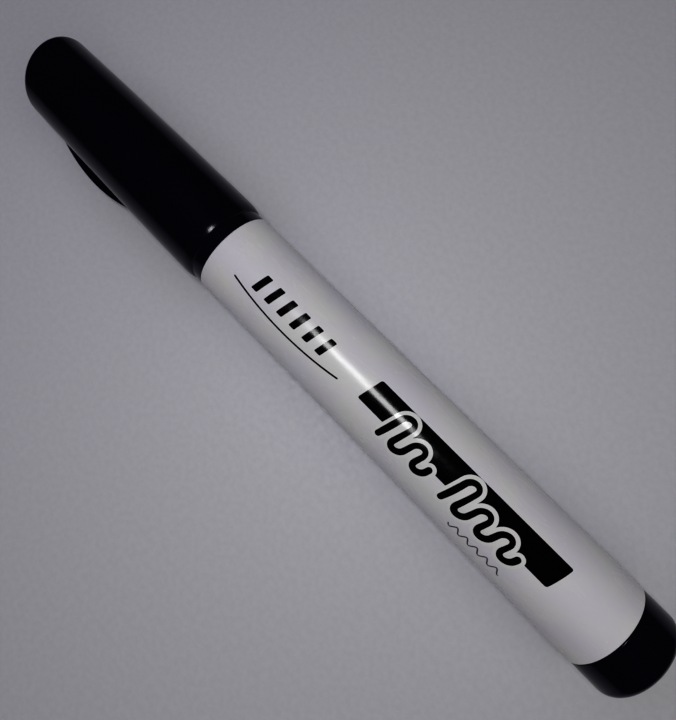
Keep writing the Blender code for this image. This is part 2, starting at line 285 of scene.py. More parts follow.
class NodeSheet:
    """A material's node tree, with short ways to add the nodes that the finishes share."""

    def __init__(self, name: str) -> None:
        """Starts a material with its Principled shader and the object's own coordinates.

        Args:
            name: the material's name.
        """
        self.material = bpy.data.materials.new(name)
        self.material.use_nodes = True
        self.tree = self.material.node_tree
        self.shader = self.tree.nodes["Principled BSDF"]
        self.coordinates = self.tree.nodes.new("ShaderNodeTexCoord").outputs["Object"]

    def set(self, **values: object) -> None:
        """Sets sockets on the shader, with underscores for the spaces in their names."""
        for name, value in values.items():
            self.shader.inputs[name.replace("_", " ")].default_value = value

    def scaled(self, scale: tuple[float, float, float]) -> bpy.types.NodeSocket:
        """The coordinates stretched by a factor along each axis.

        Args:
            scale: the factors along X, Y and Z.

        Returns:
            The stretched coordinates.
        """
        mapping = self.tree.nodes.new("ShaderNodeMapping")
        mapping.inputs["Scale"].default_value = scale
        self.tree.links.new(self.coordinates, mapping.inputs["Vector"])
        return mapping.outputs["Vector"]

    def noise(self, scale: tuple[float, float, float], detail: float = 3.0,
              roughness: float = 0.55, distortion: float = 0.0) -> bpy.types.NodeSocket:
        """Cloudy noise with its own scale along each axis.

        Args:
            scale: waves for each metre along X, Y and Z.
            detail: how many finer layers are added.
            roughness: how strong the finer layers are.
            distortion: how much the pattern is twisted.

        Returns:
            The noise value, about 0 to 1.
        """
        node = self.tree.nodes.new("ShaderNodeTexNoise")
        node.inputs["Scale"].default_value = 1.0
        node.inputs["Detail"].default_value = detail
        node.inputs["Roughness"].default_value = roughness
        node.inputs["Distortion"].default_value = distortion
        self.tree.links.new(self.scaled(scale), node.inputs["Vector"])
        return node.outputs["Fac"]

    def ranged(self, value: bpy.types.NodeSocket, low: float, high: float,
               to_low: float, to_high: float, smooth: bool = False) -> bpy.types.NodeSocket:
        """Maps a value's range to another range, clamped at both ends.

        Args:
            value: the socket to map.
            low: the value that gives to_low.
            high: the value that gives to_high.
            to_low: the result at and below low.
            to_high: the result at and above high.
            smooth: whether the result eases in and out.

        Returns:
            The mapped value.
        """
        node = self.tree.nodes.new("ShaderNodeMapRange")
        node.interpolation_type = "SMOOTHSTEP" if smooth else "LINEAR"
        limits = {"From Min": low, "From Max": high, "To Min": to_low, "To Max": to_high}
        for name, number in limits.items():
            node.inputs[name].default_value = number
        self.tree.links.new(value, node.inputs["Value"])
        return node.outputs["Result"]

    def maths(self, operation: str, first: bpy.types.NodeSocket,
              second: bpy.types.NodeSocket | float) -> bpy.types.NodeSocket:
        """One step of arithmetic on two values.

        Args:
            operation: the node's name for it, such as ADD.
            first: a socket.
            second: a socket or a number.

        Returns:
            The result.
        """
        node = self.tree.nodes.new("ShaderNodeMath")
        node.operation = operation
        self.tree.links.new(first, node.inputs[0])
        if isinstance(second, float):
            node.inputs[1].default_value = second
        else:
            self.tree.links.new(second, node.inputs[1])
        return node.outputs["Value"]

    def blend(self, factor: bpy.types.NodeSocket, first: Colour | bpy.types.NodeSocket,
              second: Colour) -> bpy.types.NodeSocket:
        """Mixes two colours by a factor.

        Args:
            factor: 0 for the first colour, 1 for the second.
            first: a colour, or a socket that gives one.
            second: a colour.

        Returns:
            The mixed colour.
        """
        node = self.tree.nodes.new("ShaderNodeMix")
        node.data_type = "RGBA"
        self.tree.links.new(factor, node.inputs["Factor"])
        if isinstance(first, tuple):
            node.inputs[6].default_value = (*first, 1.0)
        else:
            self.tree.links.new(first, node.inputs[6])
        node.inputs[7].default_value = (*second, 1.0)
        return node.outputs[2]

    def feed(self, socket: str, value: bpy.types.NodeSocket) -> None:
        """Links a value to one of the shader's sockets."""
        self.tree.links.new(value, self.shader.inputs[socket])

    def bump(self, height: bpy.types.NodeSocket, depth: float, strength: float) -> None:
        """Raises the surface by a height pattern, after any bump that is already there.

        Args:
            height: the pattern, about 0 to 1.
            depth: how far 1 stands over 0, in metres.
            strength: how much of the bump is used.
        """
        node = self.tree.nodes.new("ShaderNodeBump")
        node.inputs["Distance"].default_value = depth
        node.inputs["Strength"].default_value = strength
        self.tree.links.new(height, node.inputs["Height"])
        before = self.shader.inputs["Normal"].links
        if before:
            self.tree.links.new(before[0].from_socket, node.inputs["Normal"])
        self.tree.links.new(node.outputs["Normal"], self.shader.inputs["Normal"])


@dataclass(frozen=True)
class MouldedPlastic:
    """Injection-moulded plastic: cloudy tone, rub marks, fine scratches and specks of dust."""

    name: str
    colour: Colour
    tint: Colour
    roughness: float
    roughness_spread: float = 0.08
    wear: Wear = Wear.HANDLED
    scratch_tone: Colour = (0.5, 0.5, 0.5)
    dust: float = 0.0
    dust_tone: Colour = (0.6, 0.6, 0.6)
    subsurface: float = 0.0

    def material(self) -> bpy.types.Material:
        """Builds the node material.

        Returns:
            The finished material.
        """
        sheet = NodeSheet(self.name)
        clouds = sheet.noise((90.0, 160.0, 160.0), detail=4.0)
        cloudy = sheet.ranged(clouds, 0.35, 0.65, 0.0, 1.0, smooth=True)
        tone = sheet.blend(cloudy, self.colour, self.tint)
        scratches = sheet.noise((220.0, 5200.0, 5200.0), detail=2.0, distortion=0.4)
        lines = sheet.ranged(scratches, 0.68, 0.76, 0.0, 0.22 * self.wear.value, smooth=True)
        tone = sheet.blend(lines, tone, self.scratch_tone)
        if self.dust > 0.0:
            specks = sheet.noise((5200.0, 5200.0, 5200.0), detail=1.0, roughness=0.4)
            dusty = sheet.ranged(specks, 0.73, 0.78, 0.0, self.dust, smooth=True)
            tone = sheet.blend(dusty, tone, self.dust_tone)
        sheet.feed("Base Color", tone)
        rubbed = sheet.noise((120.0, 420.0, 420.0), detail=5.0, roughness=0.6, distortion=0.6)
        spread = self.roughness_spread * self.wear.value
        rough = sheet.ranged(rubbed, 0.3, 0.72, self.roughness - spread / 2, self.roughness + spread)
        sheet.feed("Roughness", sheet.maths("ADD", rough, sheet.maths("MULTIPLY", lines, 0.8)))
        sheet.bump(sheet.noise((260.0, 700.0, 700.0), detail=2.0), 0.03 * MM, 0.25)
        sheet.bump(sheet.noise((9000.0, 9000.0, 9000.0), detail=2.0), 0.004 * MM, 0.35)
        sheet.set(IOR=1.49)
        if self.subsurface > 0.0:
            sheet.set(Subsurface_Weight=self.subsurface, Subsurface_Radius=(0.9, 0.85, 0.8),
                      Subsurface_Scale=0.8 * MM)
        return sheet.material


@dataclass(frozen=True)
class PrintedInk:
    """Screen-printed ink: a thin glossy film with pinholes and an uneven tone."""

    name: str
    colour: Colour
    thin: Colour
    roughness: float = 0.13
    roughness_spread: float = 0.05

    def material(self) -> bpy.types.Material:
        """Builds the node material.

        Returns:
            The finished material.
        """
        sheet = NodeSheet(self.name)
        mottle = sheet.noise((1500.0, 1500.0, 1500.0), detail=4.0)
        tone = sheet.blend(sheet.ranged(mottle, 0.35, 0.75, 0.0, 0.45), self.colour, self.thin)
        sheet.feed("Base Color", tone)
        dullest = self.roughness + self.roughness_spread
        sheet.feed("Roughness", sheet.ranged(mottle, 0.3, 0.7, self.roughness, dullest))
        sheet.bump(sheet.noise((4200.0, 4200.0, 4200.0), detail=2.0), 0.006 * MM, 0.3)
        sheet.set(IOR=1.5)
        return sheet.material


@dataclass(frozen=True)
class InkedFibre:
    """Bundled fibres that run along the marker, stained with ink and dry at the ends."""

    name: str
    colour: Colour
    pale: Colour

    def material(self) -> bpy.types.Material:
        """Builds the node material.

        Returns:
            The finished material.
        """
        sheet = NodeSheet(self.name)
        strands = sheet.noise((500.0, 9000.0, 9000.0), detail=3.0, distortion=0.2)
        stain = sheet.noise((260.0, 500.0, 500.0), detail=3.0)
        tone = sheet.blend(sheet.ranged(strands, 0.35, 0.7, 0.0, 0.7), self.colour, self.pale)
        tone = sheet.blend(sheet.ranged(stain, 0.4, 0.7, 0.0, 0.6), tone, self.colour)
        sheet.feed("Base Color", tone)
        sheet.feed("Roughness", sheet.ranged(strands, 0.3, 0.7, 0.72, 0.98))
        sheet.bump(strands, 0.06 * MM, 0.6)
        sheet.set(Sheen_Weight=0.25, Sheen_Roughness=0.5)
        return sheet.material


@dataclass(frozen=True)
class ClearFilm:
    """Thin printed wrap round the reservoir, milky and crinkled, with painted shade darkening its creases.
    """

    name: str
    colour: Colour
    crease_shade_tone: Colour = (0.55, 0.56, 0.58)

    def material(self) -> bpy.types.Material:
        """Builds the node material.

        Returns:
            The finished material.
        """
        sheet = NodeSheet(self.name)
        creases = sheet.noise((150.0, 900.0, 900.0), detail=4.0, distortion=0.8)
        # Painted shade: the creases are coloured a darker grey on top of the bump that shapes them.
        tone = sheet.blend(sheet.ranged(creases, 0.35, 0.7, 0.0, 0.5), self.colour, self.crease_shade_tone)
        sheet.feed("Base Color", tone)
        sheet.feed("Roughness", sheet.ranged(creases, 0.3, 0.7, 0.12, 0.32))
        sheet.bump(creases, 0.08 * MM, 0.4)
        sheet.set(IOR=1.5, Coat_Weight=0.4, Coat_Roughness=0.1)
        return sheet.material


@dataclass(frozen=True)
class TableTop:
    """Plain pale table with a fine grain."""

    name: str
    colour: Colour
    shade: Colour

    def material(self) -> bpy.types.Material:
        """Builds the node material.

        Returns:
            The finished material.
        """
        sheet = NodeSheet(self.name)
        grain = sheet.noise((900.0, 900.0, 900.0), detail=4.0)
        tone = sheet.blend(sheet.ranged(grain, 0.35, 0.65, 0.0, 0.6), self.colour, self.shade)
        sheet.feed("Base Color", tone)
        sheet.feed("Roughness", sheet.ranged(grain, 0.3, 0.7, 0.45, 0.6))
        sheet.bump(grain, 0.05 * MM, 0.25)
        return sheet.material


# ---------------------------------------------------------------------------------------------
# The marker's own frame
# ---------------------------------------------------------------------------------------------

def span(node: str) -> tuple[float, float, float]:
    """The first and last place along X and the half height of a CAD node.

    Args:
        node: the node's name.

    Returns:
        Lowest x, highest x and half the height. For a round node the half height is the radius that
        just fits inside its facets.
    """
    low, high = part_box(node)
    return low.x, high.x, (high.z - low.z) / 2


def marker_axis() -> Axis:
    """The axis of the round barrel, with its zero at the cap's mouth."""
    low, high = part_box("barrel")
    return Axis(mouth_x=span("cap_shell")[0], y=(low.y + high.y) / 2, z=(low.z + high.z) / 2)


AXIS = marker_axis()
COLUMNS = 192


def from_mouth(x: float) -> float:
    """A world X as a place measured from the cap's mouth."""
    return x - AXIS.mouth_x


def lathe(shape: np.ndarray, poles: bool, columns: int = COLUMNS) -> Surface:
    """Turns a drawn outline round the marker's axis, with its columns evenly spaced.

    Args:
        shape: an (n, 2) array of (x, r), as outline() gives.
        poles: whether it starts and ends on the axis.
        columns: how many columns go round.

    Returns:
        Points, quads and triangles of the closed surface.
    """
    angle = np.linspace(0.0, 2 * math.pi, columns, endpoint=False)[None]
    return turned(AXIS.ring(shape[:, :1], shape[:, 1:], angle), poles)


def dress(piece: bpy.types.Object, finish: bpy.types.Material, body: str,
          node: str | None = None) -> bpy.types.Object:
    """Gives a piece its finish and its place in the model.

    Args:
        piece: the new piece.
        finish: its material.
        body: the CAD body it rides on.
        node: the CAD node it stands for, if any.

    Returns:
        The same piece.
    """
    piece.data.materials.append(finish)
    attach(piece, body)
    if node is not None:
        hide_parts(node)
    return piece


# ---------------------------------------------------------------------------------------------
# Barrel, plug and the parts at the nib
# ---------------------------------------------------------------------------------------------

@dataclass
class Barrel:
    """White tube with a shoulder, a narrower neck with a snap ring, and ribs along its bore."""

    rear: float = from_mouth(span("barrel")[0])
    front: float = from_mouth(span("barrel")[1])
    radius: float = span("barrel")[2]
    neck_length: float = 12.0 * MM
    neck_step: float = 1.0 * MM
    wall: float = 1.3 * MM
    neck_wall: float = 1.0 * MM
    ring_height: float = 0.19 * MM
    ring_corner: float = 1.4
    ring_half_length: float = 0.7 * MM
    ring_round: float = 1.0 * MM
    ring_from_front: float = 3.5 * MM
    bore_step_behind: float = 2.2 * MM
    bore_step_length: float = 1.0 * MM
    rib_count: int = 6
    rib_half_angle: float = math.radians(3.6)
    rib_margin: float = 10.0 * MM
    rear_reach: float = 0.08 * MM
    shoulder_reach: float = 0.22 * MM
    finish: MouldedPlastic = MouldedPlastic(
        name="white_barrel_plastic", colour=(0.72, 0.72, 0.725), tint=(0.70, 0.69, 0.75), roughness=0.24,
        scratch_tone=(0.42, 0.42, 0.44), dust=0.10, subsurface=0.05)

    def corners(self) -> list[Corner]:
        """The turned outline, from the rear edge along the outside and back through the bore.

        The rear edge and the shoulder reach a little further than the CAD's, so that the joints with the
        plug and the cap show as fine lines. The snap ring's corner stands ring_corner times as high as
        the ring, because its rounding cuts it down.

        Returns:
            The corners in order.
        """
        rear = self.rear - self.rear_reach
        shoulder = self.front - self.neck_length + self.shoulder_reach
        neck = self.radius - self.neck_step
        ring = self.front - self.ring_from_front
        bore = self.radius - self.wall
        neck_bore = neck - self.neck_wall
        step = shoulder - self.bore_step_behind
        return [
            Corner(rear, bore),
            Corner(rear, self.radius, 0.12 * MM),
            Corner(shoulder, self.radius, 0.15 * MM),
            Corner(shoulder, neck, 0.1 * MM),
            Corner(ring - self.ring_half_length, neck),
            Corner(ring, neck + self.ring_height * self.ring_corner, self.ring_round),
            Corner(ring + self.ring_half_length, neck),
            Corner(self.front, neck, 0.3 * MM),
            Corner(self.front, neck_bore, 0.1 * MM),
            Corner(step, neck_bore),
            Corner(step - self.bore_step_length, bore),
        ]

    def surface(self) -> Surface:
        """Turns the outline and raises the ribs on the bore.

        A rib's height over the bore is the full rib height times a smooth pulse of the angle, which is
        (1 + cos(pi a / w)) / 2 within the half width w of each rib's middle and 0 elsewhere.

        Returns:
            Points, quads and triangles.
        """
        shape = outline(self.corners())
        x, r = shape[:, :1], shape[:, 1:]
        angle = np.linspace(0.0, 2 * math.pi, COLUMNS * 2, endpoint=False)[None]
        bore = self.radius - self.wall
        rib_height = self.neck_wall + self.neck_step - self.wall
        pitch = 2 * math.pi / self.rib_count
        off_rib = np.abs((angle + pitch / 2) % pitch - pitch / 2)
        hump = (1 + np.cos(math.pi * off_rib / self.rib_half_angle)) / 2
        pulse = np.where(off_rib < self.rib_half_angle, hump, 0.0)
        inside = (np.abs(r - bore) < 1e-6) & (x > self.rear + self.rib_margin)
        return turned(AXIS.ring(x, r - inside * rib_height * pulse, angle), poles=False)

    def build(self) -> bpy.types.Object:
        """Makes the barrel and puts it in place of its CAD node."""
        return dress(piece_from("barrel_moulding", self.surface()), self.finish.material(), "marker",
                     node="barrel")


@dataclass
class RearPlug:
    """Black cup in the barrel's rear end, with a rounded rim, a flat face and a moulding gate mark."""

    rear: float = from_mouth(span("rear_plug")[0])
    front: float = from_mouth(span("rear_plug")[1])
    radius: float = span("rear_plug")[2]
    seat: float = from_mouth(span("barrel")[0]) - JOINT_GAP
    skirt_radius: float = span("barrel")[2] - 1.6 * MM
    wall: float = 1.1 * MM
    floor: float = 1.4 * MM
    rim_round: float = 1.6 * MM
    gate_radius: float = 1.1 * MM
    gate_depth: float = 0.12 * MM

    def corners(self) -> list[Corner]:
        """The turned outline, from the middle of the rear face round to the middle of the floor.

        Returns:
            The corners in order.
        """
        bore = self.skirt_radius - self.wall
        return [
            Corner(self.rear + self.gate_depth, 0.0),
            Corner(self.rear + self.gate_depth, self.gate_radius - self.gate_depth, 0.05 * MM),
            Corner(self.rear, self.gate_radius, 0.05 * MM),
            Corner(self.rear, self.radius, self.rim_round),
            Corner(self.seat, self.radius, 0.12 * MM),
            Corner(self.seat, self.skirt_radius),
            Corner(self.front, self.skirt_radius, 0.6 * MM),
            Corner(self.front, bore, 0.2 * MM),
            Corner(self.rear + self.floor, bore, 0.4 * MM),
            Corner(self.rear + self.floor, 0.0),
        ]

    def build(self, finish: bpy.types.Material) -> bpy.types.Object:
        """Makes the plug in the given black plastic."""
        plug = piece_from("rear_plug_moulding", lathe(outline(self.corners()), poles=True))
        return dress(plug, finish, "marker", node="rear_plug")


@dataclass
class NibEnd:
    """The nib and the moulding that holds it: a skirt in the neck, a rim, a cone and a tube."""

    skirt: float = from_mouth(span("nib_holder")[0])
    front: float = from_mouth(span("nib_holder")[1])
    rim_radius: float = span("nib_holder")[2]
    seat: float = from_mouth(span("barrel")[1]) + JOINT_GAP
    skirt_radius: float = span("barrel")[2] - 2.3 * MM
    skirt_wall: float = 0.8 * MM
    rim_length: float = 1.2 * MM
    tube_length: float = 6.3 * MM
    nib_tail: float = from_mouth(span("nib")[0])
    nib_tip: float = from_mouth(span("nib")[1])
    nib_radius: float = span("nib")[2]
    nib_gap: float = JOINT_GAP
    tube_wall: float = 1.3 * MM
    tip_length: float = 3.6 * MM
    tip_flat: float = 0.9 * MM
    funnel_length: float = 1.2 * MM
    funnel_flare: float = 0.4 * MM
    holder_finish: MouldedPlastic = MouldedPlastic(
        name="white_holder_plastic", colour=(0.70, 0.70, 0.70), tint=(0.64, 0.645, 0.66), roughness=0.34,
        wear=Wear.FRESH, scratch_tone=(0.4, 0.4, 0.4), subsurface=0.06)
    nib_finish: InkedFibre = InkedFibre(
        name="inked_nib_fibre", colour=(0.008, 0.008, 0.012), pale=(0.07, 0.07, 0.08))

    def holder_corners(self) -> list[Corner]:
        """The holder's turned outline, along the outside and back through the bore.

        Returns:
            The corners in order.
        """
        tube = self.nib_radius + self.nib_gap + self.tube_wall
        bore = self.nib_radius + self.nib_gap
        cone = self.seat + self.rim_length
        tube_start = self.front - self.tube_length
        skirt_bore = self.skirt_radius - self.skirt_wall
        return [
            Corner(self.skirt, skirt_bore),
            Corner(self.skirt, self.skirt_radius, 0.15 * MM),
            Corner(self.seat, self.skirt_radius),
            Corner(self.seat, self.rim_radius, 0.15 * MM),
            Corner(cone, self.rim_radius, 0.8 * MM),
            Corner(tube_start, tube, 2.0 * MM),
            Corner(self.front, tube - 0.02 * MM, 0.45 * MM),
            Corner(self.front, bore, 0.12 * MM),
            Corner(tube_start, bore),
            Corner(tube_start - self.funnel_length, bore + self.funnel_flare),
            Corner(cone - self.funnel_length, skirt_bore),
        ]

    def nib_surface(self) -> Surface:
        """Turns the nib: a rod whose tip is a quarter ellipse, length (1 - cos) and radius (1 - sin).

        Returns:
            Points, quads and triangles.
        """
        start = self.nib_tip - self.tip_length
        rod = outline([Corner(self.nib_tail, 0.0), Corner(self.nib_tail, self.nib_radius, 0.5 * MM),
                       Corner(start, self.nib_radius)], longest=2.0 * MM)
        turn = np.linspace(0.0, math.pi / 2, 17)[1:]
        tip = np.stack([start + self.tip_length * np.sin(turn),
                        self.tip_flat + (self.nib_radius - self.tip_flat) * np.cos(turn)], axis=-1)
        shape = np.concatenate([rod, tip, [[self.nib_tip, 0.0]]])
        return lathe(shape, poles=True, columns=COLUMNS // 2)

    def build(self) -> list[bpy.types.Object]:
        """Makes the holder and the nib.

        Returns:
            The two pieces.
        """
        holder = piece_from("nib_holder_moulding", lathe(outline(self.holder_corners()), poles=False))
        dress(holder, self.holder_finish.material(), "marker", node="nib_holder")
        nib = piece_from("nib_rod", self.nib_surface())
        dress(nib, self.nib_finish.material(), "marker", node="nib")
        return [holder, nib]


@dataclass
class Reservoir:
    """The ink reservoir inside the barrel: a wad of fibre in a film sleeve, kept as the CAD has them."""

    fibre_finish: InkedFibre = InkedFibre(
        name="ink_wad_fibre", colour=(0.02, 0.02, 0.03), pale=(0.16, 0.16, 0.18))
    film_finish: ClearFilm = ClearFilm(name="reservoir_wrap_film", colour=(0.75, 0.76, 0.78))

    def build(self) -> list[bpy.types.Object]:
        """Gives both CAD nodes their own finish.

        Returns:
            The two nodes' objects.
        """
        nodes = [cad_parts["reservoir_fibre"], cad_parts["reservoir_film"]]
        for node, finish in zip(nodes, (self.fibre_finish, self.film_finish)):
            node.data.materials.clear()
            node.data.materials.append(finish.material())
        return nodes


# ---------------------------------------------------------------------------------------------
# Cap
# ---------------------------------------------------------------------------------------------

@dataclass
class Cap:
    """Black tapered cup with a collar, a slanted closed end and a crescent fin, and its liner."""

    length: float = 51.9 * MM
    body_radius: float = span("cap_shell")[2]
    taper: float = 0.65 * MM
    taper_bow: float = 1.6
    wall: float = 1.0 * MM
    bore: float = 7.5 * MM
    bore_straight: float = 11.7 * MM
    floor: float = from_mouth(span("cap_inner_seal")[1]) + JOINT_GAP
    end_round: float = 1.2 * MM
    end_slope: float = 0.223
    collar_length: float = 2.1 * MM
    collar_radius: float = span("barrel")[2] - 0.1 * MM
    collar_edge: float = 0.1 * MM
    shoulder_length: float = 1.9 * MM
    fin_angle: float = math.radians(120.0)
    fin_start: float = 20.95 * MM
    fin_end: float = 46.15 * MM
    fin_height: float = 2.86 * MM
    fin_thickness: float = 1.8 * MM
    fin_flank: float = 0.16 * MM
    liner_mouth: float = from_mouth(span("cap_inner_seal")[0])
    liner_back: float = from_mouth(span("cap_inner_seal")[1])
    liner_flange_radius: float = span("cap_inner_seal")[2]
    liner_bore: float = 4.3 * MM
    liner_wall: float = 0.7 * MM
    liner_flange_length: float = 1.2 * MM
    liner_lip_length: float = 1.5 * MM
    liner_lip_round: float = 0.12 * MM
    liner_finish: MouldedPlastic = MouldedPlastic(
        name="pale_liner_plastic", colour=(0.62, 0.62, 0.63), tint=(0.55, 0.555, 0.57), roughness=0.42,
        wear=Wear.FRESH, scratch_tone=(0.4, 0.4, 0.4))

    def columns(self) -> np.ndarray:
        """Angles round the cap, set close together on the fin's flanks and evenly elsewhere.

        Returns:
            The angles, from one side of the fin over it and once round the cap.
        """
        crest = self.fin_thickness / 2 - self.fin_flank
        foot = self.fin_thickness / 2 + self.fin_flank
        reach = self.fin_thickness
        marks = (-reach, -foot, -crest, crest, foot, reach)
        counts = (6, 12, 10, 12, 6)
        runs = [np.linspace(*ends, endpoint=False) for ends in zip(marks, marks[1:], counts)]
        across = np.concatenate([*runs, [reach]])
        near = np.arcsin(across / self.body_radius)
        rest = np.linspace(near[-1], 2 * math.pi + near[0], COLUMNS)[1:-1]
        return self.fin_angle + np.concatenate([near, rest])

    def shell_surface(self) -> Surface:
        """Works out the shell as one closed grid.

        Outside, a short collar steps up over a quarter ellipse to the body. From there the radius falls
        to the end by the taper times u^bow, with u from 0 at the shoulder to 1 at the end. The end face
        is x = length minus slope times the distance towards the fin, and the side rows share out that
        slant evenly. The fin lifts each point away from the axis by c(x) s(t): c is a circular arc over
        the fin's chord, and s is 1 across the fin's thickness and falls smoothly to 0 over its flanks,
        with t measured across the fin. Inside, the bore is round.

        Returns:
            Points, quads and triangles.
        """
        angle = self.columns()[None]
        end_radius = self.body_radius - self.taper
        towards_fin = np.cos(angle - self.fin_angle)
        turn = np.linspace(0.0, math.pi / 2, 9)[:, None]
        disc = np.linspace(0.0, 1.0, 6)[:-1, None] * (end_radius - self.end_round)
        end_r = np.concatenate([disc, end_radius - self.end_round + self.end_round * np.sin(turn)])
        end_x = np.concatenate([np.full_like(disc, self.length),
                                self.length - self.end_round + self.end_round * np.cos(turn)])
        end_x = end_x - self.end_slope * end_r * towards_fin
        share = np.linspace(0.0, 1.0, 90)[1:-1, None]
        shoulder = self.collar_length + self.shoulder_length
        side_x = end_x[-1:] + (shoulder - end_x[-1:]) * share
        side_r = self.body_radius - self.taper * (1 - share) ** self.taper_bow
        rise = self.body_radius - self.collar_radius
        lip_x = np.concatenate([
            shoulder - self.shoulder_length * np.sin(turn),
            [[self.collar_length / 2], [self.collar_edge], [0.0]],
        ])
        lip_r = np.concatenate([
            self.body_radius - rise * (1 - np.cos(turn)),
            [[self.collar_radius], [self.collar_radius], [self.collar_radius - self.collar_edge]],
        ])
        inside = outline([
            Corner(0.0, self.bore + 0.15 * MM),
            Corner(0.2 * MM, self.bore, 0.1 * MM),
            Corner(self.bore_straight, self.bore, 4.0 * MM),
            Corner(self.floor, end_radius - self.wall, 0.6 * MM),
            Corner(self.floor, 0.0),
        ])
        width = angle.shape[1]
        round_x = np.concatenate([lip_x, inside[:, :1]])
        x = np.concatenate([end_x, side_x, np.tile(round_x, (1, width))])
        r = np.tile(np.concatenate([end_r, side_r, lip_r, inside[:, 1:]]), (1, width))
        grid = AXIS.ring(x, r, angle)
        outer = len(end_r) + len(side_r) + len(lip_r)
        grid[:outer] += self.fin_lift(x[:outer], r[:outer], angle)
        return turned(grid, poles=True)

    def fin_lift(self, x: np.ndarray, r: np.ndarray, angle: np.ndarray) -> np.ndarray:
        """How far the fin lifts each outer point, as a vector away from the axis at the fin's middle.

        Args:
            x: places along the axis.
            r: radii before the lift.
            angle: the columns' angles.

        Returns:
            An array of the grid's shape with a last dimension of 3.
        """
        half = (self.fin_end - self.fin_start) / 2
        bow = (half ** 2 + self.fin_height ** 2) / (2 * self.fin_height)
        off_middle = np.clip(np.abs(x - self.fin_start - half), 0.0, half)
        crest = np.sqrt(bow ** 2 - off_middle ** 2) - (bow - self.fin_height)
        across = np.abs(r * np.sin(angle - self.fin_angle))
        ahead = np.cos(angle - self.fin_angle) > 0.0
        foot = self.fin_thickness / 2 + self.fin_flank
        edge = np.clip((foot - across) / (2 * self.fin_flank), 0.0, 1.0)
        lift = np.clip(crest, 0.0, None) * edge * edge * (3 - 2 * edge) * ahead
        away = np.array([0.0, math.sin(self.fin_angle), math.cos(self.fin_angle)])
        return lift[..., None] * away

    def liner_corners(self) -> list[Corner]:
        """The liner's turned outline, from its back face along the outside and down its bore.

        Returns:
            The corners in order.
        """
        flange_front = self.liner_back - self.liner_flange_length
        lip = self.liner_mouth + self.liner_lip_length
        outer = self.liner_bore + self.liner_wall
        return [
            Corner(self.liner_back, 0.0),
            Corner(self.liner_back, self.liner_flange_radius, 0.2 * MM),
            Corner(flange_front, self.liner_flange_radius, 0.2 * MM),
            Corner(flange_front, outer, 0.5 * MM),
            Corner(lip, outer, 1.0 * MM),
            Corner(self.liner_mouth, outer + 0.38 * MM, self.liner_lip_round),
            Corner(self.liner_mouth, self.liner_bore + 0.4 * MM, self.liner_lip_round),
            Corner(lip, self.liner_bore, 1.0 * MM),
            Corner(flange_front, self.liner_bore, 0.5 * MM),
            Corner(flange_front, 0.0),
        ]

    def build(self, finish: bpy.types.Material) -> list[bpy.types.Object]:
        """Makes the shell in the given black plastic, and the liner in its own.

        Args:
            finish: the black plastic.

        Returns:
            The two pieces.
        """
        shell = piece_from("cap_moulding", self.shell_surface())
        dress(shell, finish, "cap", node="cap_shell")
        liner = piece_from("cap_liner_moulding", lathe(outline(self.liner_corners()), poles=True))
        dress(liner, self.liner_finish.material(), "seal", node="cap_inner_seal")
        return [shell, liner]


# ---------------------------------------------------------------------------------------------
# Print on the barrel
# ---------------------------------------------------------------------------------------------

class Layer(Enum):
    """Height of each printed layer's top over the barrel, in metres."""

    GROUND = 0.012 * MM
    HALO = 0.024 * MM
    TOP = 0.036 * MM


@dataclass(frozen=True)
class Stroke:
    """A printed line: a path of (place along the barrel, place round it) and a half width."""

    path: np.ndarray
    half_width: float
    swell: float = 0.0
    swell_length: float = 1.7 * MM

    def grid(self, across: int = 7) -> np.ndarray:
        """Spreads the path sideways into a strip with round ends.

        A point of the strip is path + normal times v times w, with v from -1 to 1. The half width w is
        sqrt(h^2 - (h - s)^2) while the distance s to the nearer end is below the full half width h, and
        h times 1 + swell sin(distance / swell length) along the rest.

        Args:
            across: how many points lie across the strip.

        Returns:
            An (n, across, 2) array of (x, arc).
        """
        step = np.gradient(self.path, axis=0)
        along = step / np.linalg.norm(step, axis=1, keepdims=True)
        normal = np.stack([-along[:, 1], along[:, 0]], axis=-1)
        run = np.concatenate([[0.0], np.cumsum(np.linalg.norm(np.diff(self.path, axis=0), axis=1))])
        half = self.half_width * (1 + self.swell * np.sin(run / self.swell_length))
        to_end = np.minimum(run, run[-1] - run) + 0.02 * half
        round_end = np.sqrt(np.clip(half ** 2 - (half - np.minimum(to_end, half)) ** 2, 0.0, None))
        spread = np.linspace(-1.0, 1.0, across)
        return self.path[:, None] + normal[:, None] * (round_end[:, None] * spread[None])[..., None]


def resampled(path: np.ndarray, step: float = 0.06 * MM) -> np.ndarray:
    """A path with even steps along its length.

    Args:
        path: an (n, 2) array.
        step: the distance between points.

    Returns:
        The path with even steps.
    """
    run = np.concatenate([[0.0], np.cumsum(np.linalg.norm(np.diff(path, axis=0), axis=1))])
    places = np.linspace(0.0, run[-1], max(8, int(run[-1] / step)))
    return np.stack([np.interp(places, run, path[:, i]) for i in range(2)], axis=-1)


def lengthened(path: np.ndarray, extra: float) -> np.ndarray:
    """A path carried straight on by the same length at both ends.

    Args:
        path: an (n, 2) array.
        extra: how far it is carried on.

    Returns:
        The path with a point more at each end.
    """
    start = path[0] + (path[0] - path[1]) / np.linalg.norm(path[0] - path[1]) * extra
    end = path[-1] + (path[-1] - path[-2]) / np.linalg.norm(path[-1] - path[-2]) * extra
    return np.concatenate([start[None], path, end[None]])


